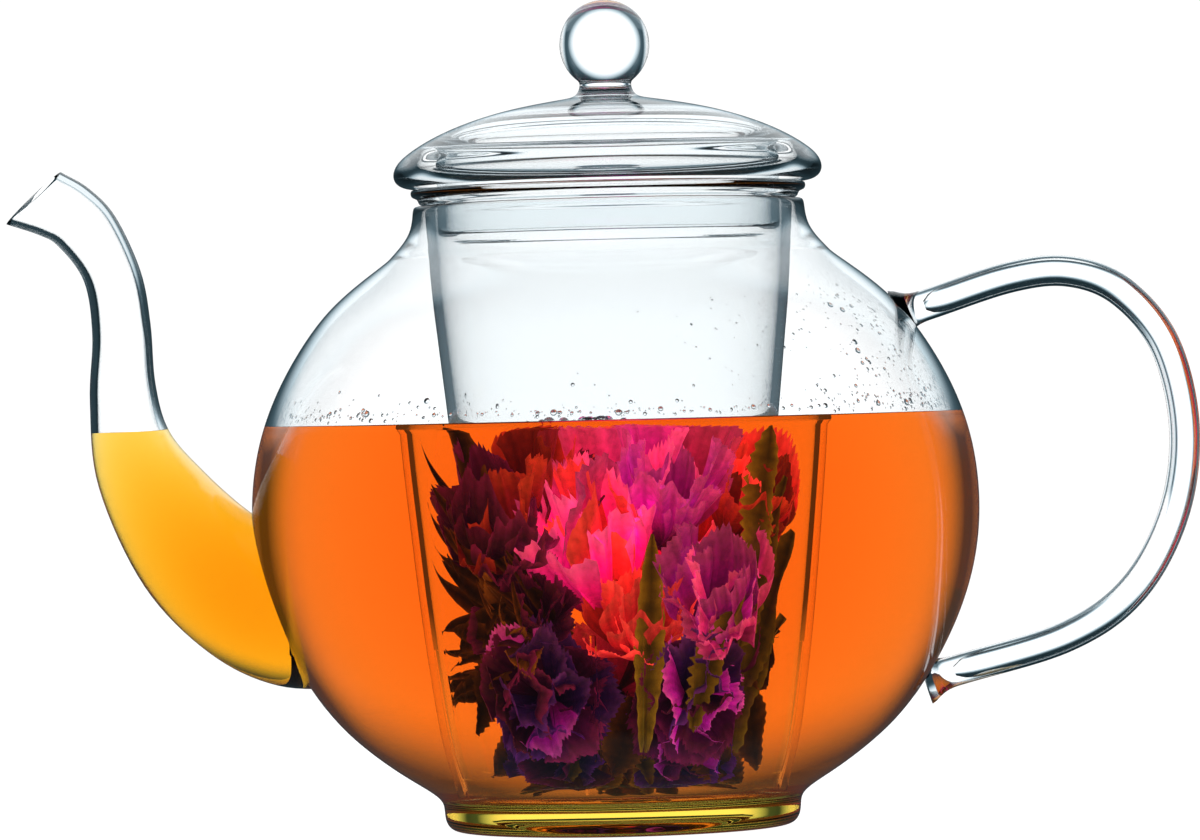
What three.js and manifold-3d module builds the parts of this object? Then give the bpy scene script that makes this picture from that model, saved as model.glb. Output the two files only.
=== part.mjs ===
// A borosilicate glass teapot with a lift-out infuser, a lift-off lid and a blossom of flowering tea.
// Units are millimetres and +Z is up. The spout points along -X and the handle along +X.
// The origin is on the pot's axis, on the plane that its foot stands on.

import * as THREE from "three";
import { mergeVertices } from "three/addons/utils/BufferGeometryUtils.js";
import Module from "manifold-3d";

const wasm = await Module();
wasm.setup();

// Clearances and resolution
const GAP = 0.3; // between pieces that touch or are fused together
const TURN_STEPS = 32; // facets round a turned piece
const TUBE_STEPS = 14; // facets round the spout and the handle
const MERGE = 1e-3;

// Pot: the foot, the globe, the neck and its lip
const WALL = 2;
const CONTACT_INNER_R = 29.4;
const CONTACT_OUTER_R = 33.2;
const RECESS_Z = 3.5;
const FLOOR_Z = 8.6;
const NECK_R = 39.2;
const NECK_JOIN_Z = 115; // the neck's collar is fused to the globe here
const LIP_Z = 125;
const FOOT_OUTLINE = [
  [34.8, 0.9],
  [35.6, 2.6],
  [35.6, 4.8],
];
const GLOBE_OUTLINE = [
  [36.2, 7],
  [46.4, 13.3],
  [57.6, 23.3],
  [66.9, 38.5],
  [71.6, 52],
  [72.8, 65],
  [71, 78.5],
  [65.8, 91.3],
  [57, 104.2],
  [47.5, 112],
  [41.6, 116.1],
  [39.4, 119.6],
];
const GLOBE_STEPS = 18;

// Spout: its upper and lower edges in the plane y = 0, from inside the globe out to the mouth
const SPOUT_WALL = 1.6;
const SPOUT_UPPER_EDGE = [
  [-55, 57],
  [-66, 60.5],
  [-74, 65.6],
  [-82.5, 73.6],
  [-88.9, 81.5],
  [-91.4, 91],
  [-92.1, 103],
  [-93.8, 113.5],
  [-98.6, 124.6],
  [-103.8, 130.4],
  [-109.3, 133.8],
];
const SPOUT_LOWER_EDGE = [
  [-53, 29],
  [-68.5, 30.1],
  [-82, 37],
  [-94.6, 50.6],
  [-103.2, 70.5],
  [-104.6, 87.5],
  [-103.8, 101],
  [-105.2, 111.8],
  [-110.2, 119],
  [-114.2, 121.4],
  [-120.4, 123.6],
];
const SPOUT_HALF_DEPTH = [15, 16.5, 16.2, 13.2, 9.4, 6.7, 5.9, 5.9, 6.1, 6.2, 6.2];
const SPOUT_RINGS = 22;

// Handle: a bent tube between two flared welds on the globe
const TUBE_R = 3.1;
const TUBE_BORE_R = 1.9;
const HANDLE_ROUTE = [
  [62.7, 102.9],
  [80.2, 108.2],
  [92, 109],
  [102.2, 104.7],
  [110.6, 94],
  [114.25, 77.3],
  [111.6, 60.3],
  [103.2, 45.3],
  [89.7, 36.1],
  [66.9, 29.7],
];
const HANDLE_STEPS = 30;
const WELD_OUTLINE = [
  [0, -12],
  [6.4, -12],
  [5.6, -6],
  [4.4, -3.6],
  [3.5, -1.8],
  [TUBE_R, -GAP],
  [0, -GAP],
];

// Tea
const TEA_Z = 81.4;

// Infuser, measured up from the underside of its floor
const INFUSER_SEAT_Z = 14;
const INFUSER_WALL = 1.8;
const INFUSER_FLOOR_R = 20.4;
const INFUSER_CORNER_R = 6;
const INFUSER_WAIST_R = 33.2;
const INFUSER_WAIST_Z = 70;
const INFUSER_SHOULDER_Z = 98;
const INFUSER_NECK_R = 36.5;
const INFUSER_STEP_R = 38;
const INFUSER_RIM_R = 39.5;
const INFUSER_STEP_Z = LIP_Z + GAP - INFUSER_SEAT_Z;
const INFUSER_RIM_Z = INFUSER_STEP_Z + 1.3;
const INFUSER_TOP_Z = INFUSER_RIM_Z + 1.8;
const SLIT_COUNT = 20;
const SLIT_WIDTH = 0.8;
const SLIT_LOW_Z = 8;
const SLIT_HIGH_Z = 30;

// Blossom, measured from the same plane as the infuser
const BLOSSOM_LOW_Z = 3.2;
const BLOSSOM_HIGH_Z = 66.4;
const BLOSSOM_LOW_R = 21;
const BLOSSOM_HIGH_R = 28.6;
const BUNDLE_HIGH_Z = 17;
const DARK_HIGH_Z = 34;
const HEART_R = 9;
const THREAD_R = 0.45;
const THREAD_RING_R = 11.6;

// Lid, measured up from the infuser's rim
const LID_SEAT_Z = INFUSER_SEAT_Z + INFUSER_TOP_Z + GAP;
const DOME_OUTER = [
  [40.6, 0],
  [42.3, 0.8],
  [43, 2.3],
  [42.6, 4.1],
  [41.2, 5.9],
  [38, 8.2],
  [33.6, 10.6],
  [27.6, 13],
  [19.6, 15.3],
  [10, 16.9],
  [0, 17.4],
];
const DOME_INNER = [
  [0, 14.9],
  [10, 14.4],
  [19.2, 12.9],
  [26.6, 10.7],
  [32.2, 8.4],
  [36, 6.2],
  [37.9, 3.9],
  [38.3, 1.4],
  [39.2, 0],
];
const SKIRT_R = 34.2;
const SKIRT_WALL = 1.6;
const SKIRT_LOW_Z = -10.6;
const SKIRT_HIGH_Z = 6.8;
const KNOB_R = 9;
const KNOB_Z = 27.9;
const STEM_OUTLINE = [
  [0, 15.5],
  [7.4, 15.5],
  [6.9, 17.4],
  [5.4, 18.6],
  [5.3, 20.2],
  [0, 20.2],
];

const vectors = (pairs) => pairs.map(([r, z]) => new THREE.Vector2(r, z));
const inPlane = ([x, z]) => new THREE.Vector3(x, 0, z);

// A solid of revolution about Z from an outline of (radius, height) points.
function turned(outline, steps = TURN_STEPS) {
  return new THREE.LatheGeometry(outline, steps).rotateX(Math.PI / 2);
}

// The outline moved sideways by a distance: to its right as it runs upwards, so outwards.
function offsetOutline(outline, distance) {
  return outline.map((point, i) => {
    const before = outline[Math.max(i - 1, 0)];
    const after = outline[Math.min(i + 1, outline.length - 1)];
    const along = after.clone().sub(before).normalize();
    return new THREE.Vector2(point.x + along.y * distance, point.y - along.x * distance);
  });
}

function arcOutline(centreR, centreZ, radius, fromDegrees, toDegrees, steps) {
  return Array.from({ length: steps + 1 }, (_, i) => {
    const angle = THREE.MathUtils.degToRad(fromDegrees + ((toDegrees - fromDegrees) * i) / steps);
    return new THREE.Vector2(centreR + radius * Math.cos(angle), centreZ + radius * Math.sin(angle));
  });
}

function toSolid(geometry) {
  const bare = new THREE.BufferGeometry();
  bare.setAttribute("position", geometry.getAttribute("position"));
  bare.setIndex(geometry.index);
  const merged = mergeVertices(bare, MERGE);
  return new wasm.Manifold(
    new wasm.Mesh({
      numProp: 3,
      vertProperties: merged.attributes.position.array,
      triVerts: new Uint32Array(merged.index.array),
    }),
  );
}

function toGeometry(solid) {
  const mesh = solid.getMesh();
  const geometry = new THREE.BufferGeometry();
  geometry.setAttribute("position", new THREE.BufferAttribute(mesh.vertProperties, 3));
  geometry.setIndex(new THREE.BufferAttribute(mesh.triVerts, 1));
  geometry.computeVertexNormals();
  return geometry;
}

function piece(parent, name, geometry, colour, roughness, opacity = 1) {
  const material = new THREE.MeshStandardMaterial({
    color: colour,
    roughness,
    metalness: 0,
    transparent: opacity < 1,
    opacity,
  });
  const mesh = new THREE.Mesh(geometry, material);
  mesh.name = name;
  parent.add(mesh);
}

const clearGlass = (parent, name, geometry) => piece(parent, name, geometry, 0xe4efef, 0.03, 0.3);
const tea = (parent, name, geometry) => piece(parent, name, geometry, 0xe66a08, 0.04, 0.75);

// ---- pot ----

const globeOutline = new THREE.SplineCurve(vectors(GLOBE_OUTLINE)).getSpacedPoints(GLOBE_STEPS);
const neckOutline = vectors([[NECK_R, LIP_Z - 0.5]]);
const outerWall = [...globeOutline, ...neckOutline];
const innerWall = offsetOutline(outerWall, -WALL).filter((point) => point.y > FLOOR_Z + 0.6);

function potShell() {
  const underside = vectors([
    [0, RECESS_Z],
    [CONTACT_INNER_R - 2.4, RECESS_Z],
    [CONTACT_INNER_R - 0.8, RECESS_Z - 1],
    [CONTACT_INNER_R, 0],
    [CONTACT_OUTER_R, 0],
    ...FOOT_OUTLINE,
  ]);
  const lip = vectors([
    [NECK_R - 0.5, LIP_Z],
    [NECK_R - WALL + 0.5, LIP_Z],
  ]);
  const floor = vectors([
    [CONTACT_OUTER_R, FLOOR_Z],
    [0, FLOOR_Z],
  ]);
  return turned([...underside, ...outerWall, ...lip, ...innerWall.toReversed(), ...floor]);
}

// The globe as one solid, grown by a distance, for cutting what is fused to it.
function globeSolid(grow) {
  const wall = offsetOutline(outerWall, grow);
  return toSolid(turned([new THREE.Vector2(0, wall[0].y), ...wall, new THREE.Vector2(0, wall.at(-1).y)]));
}

// The space inside the globe, shrunk by a distance, up to a height.
function cavityOutline(shrink, top) {
  const wall = offsetOutline(innerWall, -shrink).filter((point) => point.y < top);
  const last = wall.at(-1);
  const next = offsetOutline(innerWall, -shrink).find((point) => point.y >= top) ?? last;
  const share = next === last ? 0 : (top - last.y) / (next.y - last.y);
  return [
    new THREE.Vector2(0, FLOOR_Z + shrink),
    new THREE.Vector2(CONTACT_OUTER_R, FLOOR_Z + shrink),
    ...wall,
    new THREE.Vector2(THREE.MathUtils.lerp(last.x, next.x, share), top),
  ];
}

// One ring of the spout at a place along it, from 0 inside the globe to 1 at the mouth.
const spoutUpper = new THREE.SplineCurve(vectors(SPOUT_UPPER_EDGE));
const spoutLower = new THREE.SplineCurve(vectors(SPOUT_LOWER_EDGE));
const spoutDepth = new THREE.SplineCurve(SPOUT_HALF_DEPTH.map((depth, i) => new THREE.Vector2(i, depth)));

function spoutRing(place, inset) {
  const upper = spoutUpper.getPoint(place);
  const lower = spoutLower.getPoint(place);
  const centre = upper.clone().add(lower).divideScalar(2);
  const half = upper.clone().sub(centre);
  const rise = half.clone().setLength(half.length() - inset);
  const depth = spoutDepth.getPoint(place).y - inset;
  return Array.from({ length: TUBE_STEPS }, (_, i) => {
    const angle = (2 * Math.PI * i) / TUBE_STEPS;
    const up = Math.cos(angle);
    return [centre.x + rise.x * up, depth * Math.sin(angle), centre.y + rise.y * up];
  });
}

// A closed surface through rings of equal size: joined end to start, or capped at both ends.
function loft(rings, capped) {
  const around = rings[0].length;
  const corners = rings.flat();
  const faces = [];
  const spans = capped ? rings.length - 1 : rings.length;
  for (let i = 0; i < spans; i++) {
    const here = i * around;
    const there = ((i + 1) % rings.length) * around;
    for (let j = 0; j < around; j++) {
      const next = (j + 1) % around;
      faces.push(here + j, here + next, there + next, here + j, there + next, there + j);
    }
  }
  const end = (rings.length - 1) * around;
  for (let j = 1; capped && j < around - 1; j++) {
    faces.push(0, j + 1, j, end, end + j, end + j + 1);
  }
  const geometry = new THREE.BufferGeometry();
  geometry.setAttribute("position", new THREE.Float32BufferAttribute(corners.flat(), 3));
  geometry.setIndex(faces);
  return geometry;
}

function spoutRings(inset) {
  return Array.from({ length: SPOUT_RINGS + 1 }, (_, i) => spoutRing(i / SPOUT_RINGS, inset));
}

function spoutTube() {
  const outside = spoutRings(0);
  const bore = spoutRings(SPOUT_WALL);
  return loft([...outside, ...bore.toReversed()], false);
}

function belowTea() {
  const size = 400;
  return toSolid(new THREE.BoxGeometry(size, size, size).translate(0, 0, TEA_Z - size / 2));
}

function handleTube() {
  const route = new THREE.CatmullRomCurve3(HANDLE_ROUTE.map(inPlane));
  const section = new THREE.Shape().absarc(0, 0, TUBE_R, 0, 2 * Math.PI);
  section.holes.push(new THREE.Path().absarc(0, 0, TUBE_BORE_R, 0, 2 * Math.PI, true));
  return new THREE.ExtrudeGeometry(section, {
    steps: HANDLE_STEPS,
    curveSegments: TUBE_STEPS / 2,
    extrudePath: route,
  });
}

// A weld flares from the end of the tube into the globe.
function weld(tubeEnd, tubeNext) {
  const outwards = inPlane(tubeNext).sub(inPlane(tubeEnd)).normalize();
  const turn = new THREE.Quaternion().setFromUnitVectors(new THREE.Vector3(0, 0, 1), outwards);
  const flare = turned(vectors(WELD_OUTLINE), TUBE_STEPS).applyQuaternion(turn);
  return toGeometry(toSolid(flare.translate(tubeEnd[0], 0, tubeEnd[1])).subtract(globeSolid(GAP)));
}

// The tea between the globe and the infuser, a cup that the infuser stands in.
function teaRoundInfuser() {
  const outside = cavityOutline(GAP, TEA_Z);
  const inside = offsetOutline(infuserOutside(), GAP)
    .map((point) => new THREE.Vector2(Math.max(point.x, 0), point.y + INFUSER_SEAT_Z))
    .filter((point) => point.y < TEA_Z);
  const top = new THREE.Vector2(INFUSER_WAIST_R + GAP, TEA_Z);
  return turned([...outside, top, ...inside.toReversed()]);
}

function teaInSpout() {
  const bore = toSolid(loft(spoutRings(SPOUT_WALL + GAP), true));
  const cavity = toSolid(turned([...cavityOutline(0, LIP_Z - 6), new THREE.Vector2(0, LIP_Z - 6)]));
  return toGeometry(bore.intersect(belowTea()).subtract(cavity));
}

function makePot() {
  const pot = new THREE.Group();
  const bore = toSolid(loft(spoutRings(SPOUT_WALL), true));
  const shell = toSolid(potShell()).subtract(bore);
  clearGlass(pot, "pot_body", toGeometry(shell.trimByPlane([0, 0, -1], GAP / 2 - NECK_JOIN_Z)));
  clearGlass(pot, "pot_neck", toGeometry(shell.trimByPlane([0, 0, 1], NECK_JOIN_Z + GAP / 2)));
  clearGlass(pot, "spout", toGeometry(toSolid(spoutTube()).subtract(globeSolid(GAP))));
  clearGlass(pot, "handle", handleTube());
  clearGlass(pot, "handle_upper_weld", weld(HANDLE_ROUTE[0], HANDLE_ROUTE[1]));
  clearGlass(pot, "handle_lower_weld", weld(HANDLE_ROUTE.at(-1), HANDLE_ROUTE.at(-2)));
  tea(pot, "tea_in_pot", teaRoundInfuser());
  tea(pot, "tea_in_spout", teaInSpout());
  tea(pot, "tea_in_infuser", teaRoundBlossom().translate(0, 0, INFUSER_SEAT_Z));
  return pot;
}

// ---- infuser ----

function infuserOutside() {
  const cornerZ = INFUSER_CORNER_R;
  return [
    new THREE.Vector2(0, 0),
    ...arcOutline(INFUSER_FLOOR_R, cornerZ, INFUSER_CORNER_R, -90, -8, 4),
    new THREE.Vector2(INFUSER_WAIST_R, INFUSER_WAIST_Z),
    new THREE.Vector2(INFUSER_NECK_R, INFUSER_SHOULDER_Z + 2),
  ];
}

function infuserInside() {
  return offsetOutline(infuserOutside(), -INFUSER_WALL).map(
    (point) => new THREE.Vector2(Math.max(point.x, 0), point.y),
  );
}

function infuserGlass() {
  const rim = vectors([
    [INFUSER_NECK_R, INFUSER_STEP_Z],
    [INFUSER_STEP_R, INFUSER_STEP_Z],
    [INFUSER_STEP_R, INFUSER_RIM_Z],
    [INFUSER_RIM_R, INFUSER_RIM_Z + 0.2],
    [INFUSER_RIM_R, INFUSER_TOP_Z - 0.3],
    [INFUSER_RIM_R - 0.4, INFUSER_TOP_Z],
    [INFUSER_NECK_R - 1, INFUSER_TOP_Z],
    [INFUSER_NECK_R - INFUSER_WALL, INFUSER_TOP_Z - 1.2],
  ]);
  let glass = toSolid(turned([...infuserOutside(), ...rim, ...infuserInside().toReversed()]));
  const slit = new THREE.BoxGeometry(12, SLIT_WIDTH, SLIT_HIGH_Z - SLIT_LOW_Z);
  for (let i = 0; i < SLIT_COUNT; i++) {
    const cutter = slit.clone().translate(INFUSER_WAIST_R - 5, 0, (SLIT_LOW_Z + SLIT_HIGH_Z) / 2);
    glass = glass.subtract(toSolid(cutter.rotateZ((2 * Math.PI * (i + 0.5)) / SLIT_COUNT)));
  }
  return toGeometry(glass);
}

// The blossom fills a tapered column in the infuser. Its pieces are slices and sectors of that column.
function columnRadius(z) {
  const share = (z - BLOSSOM_LOW_Z) / (BLOSSOM_HIGH_Z - BLOSSOM_LOW_Z);
  return THREE.MathUtils.lerp(BLOSSOM_LOW_R, BLOSSOM_HIGH_R, share);
}

function slice(lowZ, highZ) {
  const outline = vectors([
    [0, lowZ],
    [columnRadius(lowZ) - 2, lowZ],
    [columnRadius(lowZ), lowZ + 2],
    [columnRadius(highZ), highZ - 1],
    [columnRadius(highZ) - 2, highZ],
    [0, highZ],
  ]);
  return turned(outline, TURN_STEPS / 2);
}

function sector(lowZ, highZ, fromDegrees, toDegrees) {
  const inset = THREE.MathUtils.radToDeg(GAP / HEART_R);
  const from = THREE.MathUtils.degToRad(fromDegrees + inset);
  const to = THREE.MathUtils.degToRad(toDegrees - inset);
  const outline = new THREE.Shape().absarc(0, 0, columnRadius(lowZ), from, to);
  outline.absarc(0, 0, HEART_R + GAP, to, from, true);
  return new THREE.ExtrudeGeometry(outline, {
    depth: highZ - lowZ,
    bevelEnabled: false,
    curveSegments: 6,
  }).translate(0, 0, lowZ);
}

// The tea inside the infuser, round the blossom and open above it.
function teaRoundBlossom() {
  const outside = offsetOutline(infuserInside(), -GAP)
    .map((point) => new THREE.Vector2(Math.max(point.x, 0), point.y))
    .filter((point) => point.y < INFUSER_WAIST_Z - 10);
  const top = TEA_Z - INFUSER_SEAT_Z;
  return turned([
    ...outside,
    new THREE.Vector2(INFUSER_WAIST_R - INFUSER_WALL - 3 * GAP, top),
    new THREE.Vector2(BLOSSOM_HIGH_R + 2 * GAP, top),
    new THREE.Vector2(BLOSSOM_LOW_R + 2 * GAP, BLOSSOM_LOW_Z - GAP),
    new THREE.Vector2(0, BLOSSOM_LOW_Z - GAP),
  ]);
}

function makeBlossom() {
  const blossom = new THREE.Group();
  const headLow = DARK_HIGH_Z + GAP;
  const thread = new THREE.TorusGeometry(THREAD_RING_R, THREAD_R, 8, 24);
  const neck = turned(
    vectors([
      [0, BUNDLE_HIGH_Z + GAP],
      [THREAD_RING_R - THREAD_R - GAP, BUNDLE_HIGH_Z + GAP],
      [THREAD_RING_R - THREAD_R - GAP, BUNDLE_HIGH_Z + 2],
      [0, BUNDLE_HIGH_Z + 2],
    ]),
    TURN_STEPS / 2,
  );
  piece(blossom, "leaf_bundle", slice(BLOSSOM_LOW_Z, BUNDLE_HIGH_Z), 0x5a3a16, 0.7);
  piece(blossom, "bundle_neck", neck, 0x4a3012, 0.7);
  piece(blossom, "binding_thread", thread.translate(0, 0, BUNDLE_HIGH_Z + 1.1), 0xb87c2a, 0.8);
  piece(blossom, "dark_flower", slice(BUNDLE_HIGH_Z + 2 + GAP, DARK_HIGH_Z), 0x2a1240, 0.7);
  const heart = new THREE.CylinderGeometry(HEART_R, HEART_R, BLOSSOM_HIGH_Z - headLow, TURN_STEPS / 2);
  heart.rotateX(Math.PI / 2).translate(0, 0, (BLOSSOM_HIGH_Z + headLow) / 2);
  piece(blossom, "pink_carnation", heart, 0xe8306e, 0.6);
  piece(blossom, "purple_petals", sector(headLow, BLOSSOM_HIGH_Z, -80, -10), 0xb0408e, 0.6);
  piece(blossom, "red_petals", sector(headLow, BLOSSOM_HIGH_Z, -10, 80), 0xd04020, 0.6);
  piece(blossom, "navy_petals", sector(headLow, BLOSSOM_HIGH_Z, 80, 160), 0x201440, 0.6);
  piece(blossom, "needle_leaves", sector(headLow, BLOSSOM_HIGH_Z, 160, 220), 0x3c2208, 0.7);
  piece(blossom, "front_petals", sector(headLow, BLOSSOM_HIGH_Z, 220, 280), 0xe05030, 0.6);
  return blossom;
}

function makeInfuser() {
  const infuser = new THREE.Group();
  infuser.position.z = INFUSER_SEAT_Z;
  clearGlass(infuser, "infuser", infuserGlass());
  infuser.add(makeBlossom());
  return infuser;
}

// ---- lid ----

function makeLid() {
  const lid = new THREE.Group();
  lid.position.z = LID_SEAT_Z;
  const skirt = vectors([
    [SKIRT_R - SKIRT_WALL, SKIRT_LOW_Z],
    [SKIRT_R, SKIRT_LOW_Z],
    [SKIRT_R, SKIRT_HIGH_Z],
    [SKIRT_R - SKIRT_WALL, SKIRT_HIGH_Z],
    [SKIRT_R - SKIRT_WALL, SKIRT_LOW_Z],
  ]);
  const ball = (radius) => new THREE.SphereGeometry(radius, 20, 14).rotateX(Math.PI / 2).translate(0, 0, KNOB_Z);
  const domeTop = turned([new THREE.Vector2(0, GAP), ...vectors(DOME_OUTER)]).translate(0, 0, GAP);
  const stem = toSolid(turned(vectors(STEM_OUTLINE), TURN_STEPS / 2))
    .subtract(toSolid(domeTop))
    .subtract(toSolid(ball(KNOB_R + GAP)));
  clearGlass(lid, "lid_dome", turned(vectors([...DOME_OUTER, ...DOME_INNER, DOME_OUTER[0]])));
  clearGlass(lid, "lid_skirt", turned(skirt));
  clearGlass(lid, "knob_stem", toGeometry(stem));
  clearGlass(lid, "knob", ball(KNOB_R));
  return lid;
}

const teapot = new THREE.Group();
teapot.name = "glass_teapot";
teapot.add(makePot(), makeInfuser(), makeLid());

export default teapot;
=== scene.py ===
"""A glass teapot of flowering tea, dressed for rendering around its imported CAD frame."""

import math
import random

import bmesh
import bpy
import numpy as np
from mathutils import Matrix, Vector


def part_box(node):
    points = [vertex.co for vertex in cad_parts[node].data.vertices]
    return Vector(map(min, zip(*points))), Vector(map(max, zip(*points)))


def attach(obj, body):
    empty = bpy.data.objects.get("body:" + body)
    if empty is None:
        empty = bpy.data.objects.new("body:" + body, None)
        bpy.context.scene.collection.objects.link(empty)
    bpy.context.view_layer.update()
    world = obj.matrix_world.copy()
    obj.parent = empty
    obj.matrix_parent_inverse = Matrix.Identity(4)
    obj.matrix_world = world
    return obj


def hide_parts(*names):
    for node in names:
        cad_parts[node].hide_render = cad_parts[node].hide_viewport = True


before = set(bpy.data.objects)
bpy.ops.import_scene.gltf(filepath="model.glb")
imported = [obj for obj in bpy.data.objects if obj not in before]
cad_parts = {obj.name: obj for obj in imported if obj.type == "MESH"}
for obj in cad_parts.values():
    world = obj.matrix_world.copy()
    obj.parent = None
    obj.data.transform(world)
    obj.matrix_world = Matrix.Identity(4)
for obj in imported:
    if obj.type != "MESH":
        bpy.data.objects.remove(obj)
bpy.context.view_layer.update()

MM = 0.001
TURN_STEPS = 192
CURVE_STEPS = 6

TEA_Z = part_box("tea_in_pot")[1].z
SEAT_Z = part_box("infuser")[0].z
POT_TOP_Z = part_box("pot_neck")[1].z
FOOT_TOP_Z = 7.2 * MM  # below this the glass carries the tea's colour as a painted amber tint, standing in for tea light seen through the clear foot


# ---------------------------------------------------------------- curves and meshes


def section(node):
    """The CAD node's outline in the half plane x = 0, y < 0, as (radius, height) points in order.

    It starts at the lower end on the axis, or anywhere on an outline that keeps clear of the axis."""
    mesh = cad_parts[node].data
    flat = 1e-5
    key_of = {}
    for v in mesh.vertices:
        if abs(v.co.x) < flat and v.co.y < flat:
            key_of[v.index] = (round(-v.co.y, 6), round(v.co.z, 6))
    near = {}
    for e in mesh.edges:
        a, b = (key_of.get(i) for i in e.vertices)
        if a is not None and b is not None and a != b:
            near.setdefault(a, set()).add(b)
            near.setdefault(b, set()).add(a)
    ends = sorted((p for p in near if len(near[p]) == 1), key=lambda p: p[1])
    here = ends[0] if ends else min(near, key=lambda p: (p[1], p[0]))
    path = [here]
    seen = {here}
    while True:
        ways = [p for p in near[here] if p not in seen]
        if not ways:
            return path
        here = max(ways, key=lambda p: p[0]) if len(path) == 1 else ways[0]
        seen.add(here)
        path.append(here)


def unit(v):
    v = np.array(v, float)
    return v / np.linalg.norm(v)


def smooth_curve(points, steps=CURVE_STEPS, closed=False, axis_ends=False):
    """A cubic B-spline guided by the points. axis_ends keeps both ends square to the axis of revolution."""
    p = np.array(points, float)
    if closed:
        p = np.vstack([p[-1:], p, p[:2]])
    elif axis_ends:
        flip = np.array([-1.0, 1.0])
        p = np.vstack([p[1] * flip, p, p[-2] * flip])
    else:
        p = np.vstack([2 * p[0] - p[1], p, 2 * p[-1] - p[-2]])
    out = []
    for i in range(len(p) - 3):
        a, b, c, d = p[i : i + 4]
        for t in np.arange(steps) / steps:
            out.append(
                (
                    (1 - t) ** 3 * a
                    + (3 * t**3 - 6 * t**2 + 4) * b
                    + (-3 * t**3 + 3 * t**2 + 3 * t + 1) * c
                    + t**3 * d
                )
                / 6
            )
    if not closed:
        out.append((p[-3] + 4 * p[-2] + p[-1]) / 6)
    return np.array(out)


def mesh_object(name, vertices, faces, material=None):
    mesh = bpy.data.meshes.new(name)
    mesh.from_pydata([tuple(v) for v in vertices], [], faces)
    piece = bpy.data.objects.new(name, mesh)
    bpy.context.scene.collection.objects.link(piece)
    if material:
        mesh.materials.append(material)
    return piece


def tidy_mesh(piece, sharp_degrees=38, merge=2e-6):
    """Welds the mesh, points its faces outwards and shades it smooth up to an edge angle."""
    mesh = piece.data
    bm = bmesh.new()
    bm.from_mesh(mesh)
    bmesh.ops.remove_doubles(bm, verts=bm.verts, dist=merge)
    bmesh.ops.dissolve_degenerate(bm, dist=merge / 2, edges=bm.edges)
    bmesh.ops.recalc_face_normals(bm, faces=bm.faces)
    bm.to_mesh(mesh)
    bm.free()
    mesh.shade_smooth()
    mesh.set_sharp_from_angle(angle=math.radians(sharp_degrees))
    return piece


def turned(name, outline, steps=TURN_STEPS, closed=False, material=None):
    """A surface of revolution about Z. An open outline starts and ends on the axis."""
    outline = np.array(outline, float)
    angles = np.arange(steps) * 2 * math.pi / steps
    ring = np.stack([np.sin(angles), -np.cos(angles)], axis=1)
    body = outline if closed else outline[1:-1]
    vertices = [(r * x, r * y, z) for r, z in body for x, y in ring]
    faces = []
    rows = len(body)
    for i in range(rows if closed else rows - 1):
        here, there = i * steps, ((i + 1) % rows) * steps
        for j in range(steps):
            k = (j + 1) % steps
            faces.append((here + j, here + k, there + k, there + j))
    if not closed:
        low = len(vertices)
        vertices += [(0, 0, outline[0][1]), (0, 0, outline[-1][1])]
        end = (rows - 1) * steps
        for j in range(steps):
            k = (j + 1) % steps
            faces.append((low, k, j))
            faces.append((end + j, end + k, low + 1))
    return tidy_mesh(mesh_object(name, vertices, faces, material))


def loft(name, rings, material=None):
    """A closed surface through rings of equal size, capped at both ends."""
    around = len(rings[0])
    vertices = [p for ring in rings for p in ring]
    faces = []
    for i in range(len(rings) - 1):
        for j in range(around):
            k = (j + 1) % around
            faces.append(
                (
                    i * around + j,
                    i * around + k,
                    (i + 1) * around + k,
                    (i + 1) * around + j,
                )
            )
    faces.append(tuple(range(around)))
    faces.append(tuple(range(len(vertices) - around, len(vertices))))
    return tidy_mesh(mesh_object(name, vertices, faces, material))


def box(name, low, high, place=Matrix()):
    """A box between two corners, put in place by a matrix."""
    ends = list(zip(low, high))
    corners = [place @ Vector((x, y, z)) for z in ends[2] for y in ends[1] for x in ends[0]]
    sides = [(0, 1, 3, 2), (4, 6, 7, 5), (0, 4, 5, 1), (1, 5, 7, 3), (3, 7, 6, 2), (2, 6, 4, 0)]
    return tidy_mesh(mesh_object(name, corners, sides))


def combine(piece, tool, operation):
    """Joins piece with tool, or cuts it, and deletes the tool."""
    modifier = piece.modifiers.new("combine", "BOOLEAN")
    modifier.operation = operation
    modifier.solver = "MANIFOLD"
    modifier.object = tool
    depsgraph = bpy.context.evaluated_depsgraph_get()
    result = bpy.data.meshes.new_from_object(piece.evaluated_get(depsgraph))
    piece.modifiers.clear()
    old = piece.data
    piece.data = result
    bpy.data.meshes.remove(old)
    tool_mesh = tool.data
    bpy.data.objects.remove(tool)
    bpy.data.meshes.remove(tool_mesh)
    return piece


def outward(outline, distance):
    """The outline moved to its right-hand side as it runs upwards."""
    p = np.array(outline, float)
    along = np.gradient(p, axis=0)
    along /= np.linalg.norm(along, axis=1)[:, None]
    return p + distance * np.stack([along[:, 1], -along[:, 0]], axis=1)


# ---------------------------------------------------------------- materials


def new_material(name):
    material = bpy.data.materials.new(name)
    material.use_nodes = True
    nodes = material.node_tree.nodes
    return material, nodes, material.node_tree.links, nodes["Principled BSDF"]


def add_noise(nodes, links, scale, detail=3):
    where = nodes.new("ShaderNodeTexCoord")
    texture = nodes.new("ShaderNodeTexNoise")
    texture.inputs["Scale"].default_value = scale
    texture.inputs["Detail"].default_value = detail
    links.new(where.outputs["Object"], texture.inputs["Vector"])
    return texture


def add_bump(nodes, links, shader, height, strength, distance):
    bump = nodes.new("ShaderNodeBump")
    bump.inputs["Strength"].default_value = strength
    bump.inputs["Distance"].default_value = distance
    links.new(height, bump.inputs["Height"])
    links.new(bump.outputs["Normal"], shader.inputs["Normal"])


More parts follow.
